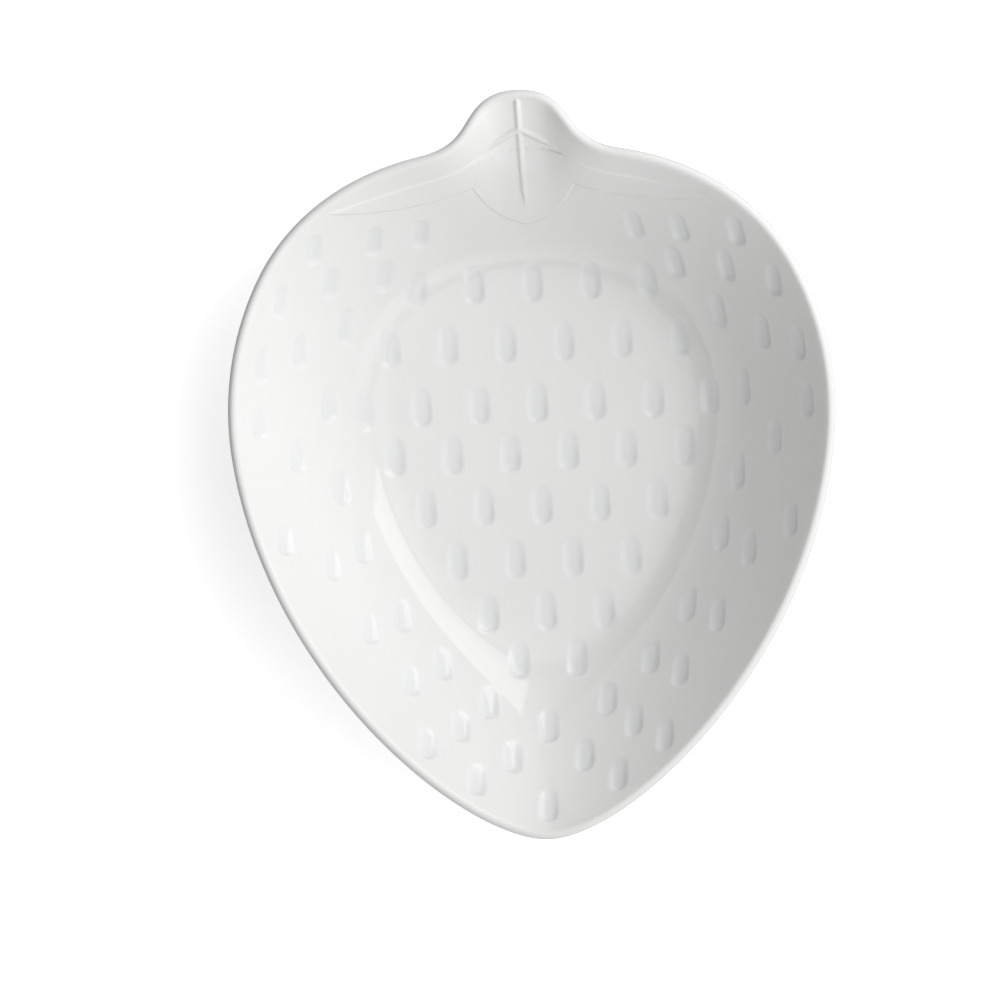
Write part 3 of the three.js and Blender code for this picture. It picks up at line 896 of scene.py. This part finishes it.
@dataclass
class BowlBody:
    """The bowl itself: its inside with seeds and leaves, its rolled lip and its outside."""

    shape: BowlShape
    surface: InsideSurface
    grid: GradedGrid
    calyx: Calyx = field(default_factory=Calyx)
    seeds: Seeds = field(default_factory=Seeds)
    finish: GlazedPorcelain = field(default_factory=GlazedPorcelain)
    pole: float = 1.0
    inside_rows: int = 50
    plain_cell: float = 2.4
    lip_cell: float = 1.7
    lip_growth: float = 0.2
    outside_cell: float = 4.0

    def rows_of(self, row: np.ndarray) -> tuple[np.ndarray, np.ndarray, np.ndarray]:
        """Splits rows into the inside, the lip and the outside.

        Args:
            row: Rows in finest steps.

        Returns:
            Shares of the way up the inside, over the lip, and from the lip down the outside.
        """
        whole = row / self.grid.parts
        up = np.clip(whole / self.inside_rows, 0, 1)
        over = np.clip(whole - self.inside_rows, 0, 1)
        down = np.clip((whole - self.inside_rows - 1) / (self.grid.rows - self.inside_rows - 1), 0, 1)
        return up, over, down

    def along(self, column: np.ndarray, row: np.ndarray) -> np.ndarray:
        """Distance from the middle along the inside, or along the inside opposite a place on the outside."""
        up, _, down = self.rows_of(row)
        length = self.surface.lengths[np.floor(column).astype(int) % self.grid.around]
        return self.pole * (length / self.pole) ** (up - down)

    def too_coarse(self, places: np.ndarray, middles: np.ndarray, size: int) -> np.ndarray:
        """Says which cells are too coarse for their place.

        Args:
            places: The middles of the seeds on the rolled-out plan.
            middles: Columns and rows of the cells' middles.
            size: The cells' size in finest steps.

        Returns:
            True for each cell that is to be halved.
        """
        column, row = middles.T
        up, over, down = self.rows_of(row)
        along = self.along(column, row)
        angle = 2 * math.pi * column / self.grid.around
        x, y = along * np.sin(angle), along * np.cos(angle)
        to_lip = self.surface.lengths[np.floor(column).astype(int) % self.grid.around] - along
        wanted = np.minimum(self.seeds.fineness(places, x, y), self.calyx.fineness(self.surface, x, y))
        near_lip = self.lip_cell + self.lip_growth * to_lip
        wanted = np.minimum(wanted, np.minimum(self.plain_cell, near_lip))
        wanted = np.where(over > 0, self.lip_cell, wanted)
        wanted = np.where(down > 0, np.minimum(self.outside_cell, near_lip), wanted)
        return 2 * math.pi * along / self.grid.around * size > wanted

    def points(self, column: np.ndarray, row: np.ndarray) -> tuple[np.ndarray, np.ndarray]:
        """Places of the grid's corners.

        Args:
            column: Their columns in finest steps.
            row: Their rows in finest steps.

        Returns:
            Their points in millimetres and their places on the rolled-out plan.
        """
        _, over, down = self.rows_of(row)
        along = self.along(column, row)
        angle = self.surface.angles[column]
        plan = np.stack([along * np.sin(angle), along * np.cos(angle)], axis=1)
        points, normals, thickness = self.surface.at(column, along)
        relief = np.zeros(len(points))
        inside = over == 0
        relief[inside] = self.calyx.height(self.surface, plan[inside, 0], plan[inside, 1])
        points += relief[:, None] * normals
        radius = self.shape.lip_thickness / 2
        turn = (math.pi * over)[:, None]
        on_lip = (over > 0) & (down == 0)
        rolled = radius * ((np.cos(turn) - 1) * normals + np.sin(turn) * self.surface.lip_over(column))
        points[on_lip] += rolled[on_lip]
        outside = down > 0
        points[outside] -= (thickness[:, None] * normals)[outside]
        return points, plan

    def build(self, middle_y: float) -> bpy.types.Object:
        """Builds and glazes the bowl.

        Args:
            middle_y: Where the middle of its length lies, in metres.

        Returns:
            The finished piece.
        """
        places = self.seeds.places(self.surface, self.calyx)
        cells = self.grid.cells(lambda middles, size: self.too_coarse(places, middles, size))
        corners, faces = self.grid.faces(cells)
        points, plan = self.points(corners[:, 0], corners[:, 1])
        points *= MM
        points[:, 1] += middle_y - (points[:, 1].min() + points[:, 1].max()) / 2
        piece = new_mesh_object("bowl_glazed", points, faces)
        rolled_out = np.column_stack([plan * MM, np.zeros(len(plan))])
        drape = piece.data.attributes.new(DRAPE, "FLOAT_VECTOR", "POINT")
        drape.data.foreach_set("vector", rolled_out.ravel())
        inside = corners[:, 1] < self.inside_rows * self.grid.parts
        piece.data.attributes.new(INSIDE, "BOOLEAN", "POINT").data.foreach_set("value", inside)
        self.seeds.press(piece, places, self.finish.build())
        return piece


@dataclass
class FootRing:
    """The bare ring that the bowl stands on, with its lower edges rounded by wiping."""

    shape: BowlShape
    finish: BarePorcelain = field(default_factory=BarePorcelain)
    columns: int = 192
    edge: float = 1.3
    edge_steps: int = 5

    def section(self) -> np.ndarray:
        """The ring's section, from the top of its outer side down and round to the top of its inner side.

        Returns:
            Rows of setback from the floor's edge and height, in millimetres.
        """
        outer, inner = self.shape.foot_setback, self.shape.foot_setback + self.shape.foot_width
        turn = np.linspace(0, math.pi / 2, self.edge_steps)
        inward, up = self.edge * (1 - np.cos(turn)), self.edge * (1 - np.sin(turn))
        outer_edge = np.stack([outer + inward, up], axis=1)
        inner_edge = outer_edge[::-1] * [-1, 1] + [outer + inner, 0]
        top = self.shape.foot_height
        return np.concatenate([[[outer, top]], outer_edge, inner_edge, [[inner, top]]])

    def build(self, middle: tuple[float, float]) -> bpy.types.Object:
        """Builds and dresses the ring.

        Args:
            middle: The middle of the bowl's round mouth, in metres.

        Returns:
            The finished piece.
        """
        section = self.section()
        angles = 2 * math.pi * np.arange(self.columns) / self.columns
        radius = self.shape.floor(angles)[:, None] - section[:, 0]
        height = np.broadcast_to(section[:, 1], radius.shape)
        sine, cosine = np.sin(angles)[:, None], np.cos(angles)[:, None]
        points = np.stack([radius * sine, radius * cosine, height], axis=-1)
        points = points.reshape(-1, 3) * MM + [*middle, 0]
        count = len(section)
        faces = []
        for column in range(self.columns):
            following = (column + 1) % self.columns
            for step in range(count):
                after = (step + 1) % count
                faces.append([
                    column * count + step, following * count + step,
                    following * count + after, column * count + after,
                ])
        piece = new_mesh_object("foot_ring_bare", points, faces)
        piece.data.materials.append(self.finish.build())
        return piece


@dataclass(frozen=True)
class Softbox:
    """A rectangular studio light, in metres and degrees, with azimuth turned from +X towards +Y.

    One that isn't mirrored only fills in the shading, and the glaze doesn't show it.
    """

    name: str
    azimuth: float
    elevation: float
    distance: float
    width: float
    height: float
    power: float
    mirrored: bool = True

    def build(self, aim: Vector) -> None:
        """Hangs the light so that it faces a point.

        Args:
            aim: The point, in metres.
        """
        turn, rise = math.radians(self.azimuth), math.radians(self.elevation)
        away = Vector((math.cos(rise) * math.cos(turn), math.cos(rise) * math.sin(turn), math.sin(rise)))
        light = bpy.data.lights.new(self.name, "AREA")
        light.shape = "RECTANGLE"
        light.size = self.width
        light.size_y = self.height
        light.energy = self.power
        lamp = bpy.data.objects.new(self.name, light)
        lamp.location = aim + self.distance * away
        lamp.rotation_euler = away.to_track_quat("Z", "Y").to_euler()
        lamp.visible_camera = False
        lamp.visible_glossy = self.mirrored
        bpy.context.scene.collection.objects.link(lamp)


@dataclass(frozen=True)
class PhotoCamera:
    """The camera where the photograph was taken from, in millimetres and degrees."""

    stand: tuple[float, float, float] = (68.9, 64.3, 1360.6)
    aim: tuple[float, float, float] = (-12.7, -11.8, 64.0)
    roll: float = -2.56
    focal_length: float = 125.9
    sensor: float = 36.0

    def build(self) -> None:
        """Makes the camera and hands it to the scene."""
        data = bpy.data.cameras.new("photo_camera")
        data.lens = self.focal_length
        data.sensor_width = self.sensor
        camera = bpy.data.objects.new("photo_camera", data)
        back = (Vector(self.stand) - Vector(self.aim)).normalized()
        right = Vector((0, 1, 0)).cross(back).normalized()
        level = Matrix((right, back.cross(right), back)).transposed()
        rolled = level @ Matrix.Rotation(math.radians(self.roll), 3, "Z")
        camera.matrix_world = Matrix.Translation(Vector(self.stand) * MM) @ rolled.to_4x4()
        bpy.context.scene.collection.objects.link(camera)
        bpy.context.scene.camera = camera


@dataclass(frozen=True)
class SkyPatch:
    """A soft bright part of the studio's surroundings, around one way out.

    It rises with a direction's share along that way, and covers what lies between its lowest and highest
    share of the way up.
    """

    name: str
    way: tuple[float, float, float]
    starts: float
    full: float
    lowest: float
    highest: float
    brightness: float
    blend: float = 0.1

    def build(self, tree: bpy.types.NodeTree, way: bpy.types.NodeSocket) -> bpy.types.NodeSocket:
        """Adds the patch to the sky's tree.

        Args:
            tree: The sky's tree.
            way: The output with the direction looked in.

        Returns:
            The patch's brightness.
        """
        along = add_node(tree, "ShaderNodeVectorMath", {0: way, 1: self.way}, operation="DOT_PRODUCT")
        height = add_node(tree, "ShaderNodeSeparateXYZ", {0: way}).outputs["Z"]
        half_blend = self.blend / 2
        level = self.brightness
        for value, start, end in (
            (along.outputs["Value"], self.starts, self.full),
            (height, self.lowest - half_blend, self.lowest + half_blend),
            (height, self.highest + half_blend, self.highest - half_blend),
        ):
            rise = add_node(
                tree, "ShaderNodeMapRange", {"Value": value, "From Min": start, "From Max": end},
                interpolation_type="SMOOTHSTEP",
            )
            step = add_node(
                tree, "ShaderNodeMath", {0: level, 1: rise.outputs["Result"]}, operation="MULTIPLY",
            )
            level = step.outputs[0]
        return level


@dataclass(frozen=True)
class Studio:
    """A white table under soft light from the right, with the room dark to the left.

    The table lies a hair below the foot, so that no two faces share a plane.
    """

    table_half_size: float = 60.0
    table_drop: float = 0.0001
    table_colour: str = "f6f6f6"
    table_roughness: float = 0.9
    table_glow: float = 0.5
    room: float = 0.02
    aim: tuple[float, float, float] = (0.0, 0.0, 0.04)
    camera: PhotoCamera = field(default_factory=PhotoCamera)
    sky: tuple[SkyPatch, ...] = (
        SkyPatch("right_wall", (1, 0, 0), starts=0.0, full=0.4, lowest=0, highest=0.64, brightness=0.2),
        SkyPatch("overhead", (0, 0, 1), starts=0.75, full=0.79, lowest=-2, highest=2, brightness=0.65),
        SkyPatch("far_wall", (0.4, 0.92, 0), starts=0.2, full=0.8, lowest=0, highest=0.55, brightness=0.3),
        SkyPatch("near_wall", (0.28, -0.96, 0), starts=0.2, full=0.8, lowest=0, highest=0.55, brightness=1.0),
        SkyPatch("table_bounce", (0, 0, -1), starts=0.0, full=0.2, lowest=-2, highest=2, brightness=0.5),
    )
    lights: tuple[Softbox, ...] = (
        Softbox("right_softbox", azimuth=44, elevation=28, distance=1.2, width=1.28, height=0.85, power=6.0),
        Softbox(
            "right_fill", azimuth=0, elevation=58, distance=1.2, width=1.6, height=0.9, power=7.0,
            mirrored=False,
        ),
    )

    def build(self) -> None:
        """Sets the table, the sky, the lights and the camera."""
        self.build_table()
        self.build_sky()
        for light in self.lights:
            light.build(Vector(self.aim))
        self.camera.build()
        bpy.context.scene.view_settings.view_transform = "Standard"

    def build_table(self) -> None:
        """Lays the plain white table that the bowl stands on."""
        half, level = self.table_half_size, -self.table_drop
        signs = ((-1, -1), (1, -1), (1, 1), (-1, 1))
        corners = np.array([[half * across, half * along, level] for across, along in signs])
        table = new_mesh_object("table", corners, [[0, 1, 2, 3]])
        material = bpy.data.materials.new("white_studio_paper")
        material.use_nodes = True
        shader = material.node_tree.nodes["Principled BSDF"]
        shader.inputs["Base Color"].default_value = linear_colour(self.table_colour)
        shader.inputs["Roughness"].default_value = self.table_roughness
        shader.inputs["Emission Color"].default_value = (1, 1, 1, 1)
        shader.inputs["Emission Strength"].default_value = self.table_glow
        table.data.materials.append(material)
        # The sky's table bounce lights the bowl from below, so the glowing table itself doesn't.
        table.visible_diffuse = False
        table.visible_glossy = False

    def build_sky(self) -> None:
        """Makes the surroundings from the sky's patches."""
        world = bpy.data.worlds.new("studio_sky")
        world.use_nodes = True
        tree = world.node_tree
        way = tree.nodes.new("ShaderNodeTexCoord").outputs["Generated"]
        level = self.room
        for patch in self.sky:
            inputs = {0: level, 1: patch.build(tree, way)}
            level = add_node(tree, "ShaderNodeMath", inputs, operation="ADD").outputs[0]
        background = tree.nodes["Background"]
        tree.links.new(level, background.inputs["Strength"])
        background.inputs["Color"].default_value = (1, 1, 1, 1)
        bpy.context.scene.world = world


def main() -> None:
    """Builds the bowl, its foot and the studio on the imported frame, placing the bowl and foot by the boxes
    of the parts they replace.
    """
    logging.basicConfig(level=logging.INFO, format="%(name)s: %(message)s")
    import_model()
    shape = BowlShape()
    grid = GradedGrid()
    surface = InsideSurface(shape, grid.around)
    low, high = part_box("bowl_body")
    bowl = BowlBody(shape, surface, grid).build((low[1] + high[1]) / 2)
    foot_low, foot_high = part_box("foot_ring")
    foot_reach = (shape.floor_front - shape.floor_back) / 2 * MM
    foot_middle = ((foot_low[0] + foot_high[0]) / 2, (foot_low[1] + foot_high[1]) / 2 + foot_reach)
    foot = FootRing(shape).build(foot_middle)
    for piece, node, slot in ((bowl, "bowl_body", "glazed_porcelain"), (foot, "foot_ring", "bare_porcelain")):
        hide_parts(node)
        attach(piece, "root")
        log.info("%s replaces %s: %d faces", piece.name, node, len(piece.data.polygons))
    Studio().build()


if __name__ == "__main__":
    main()
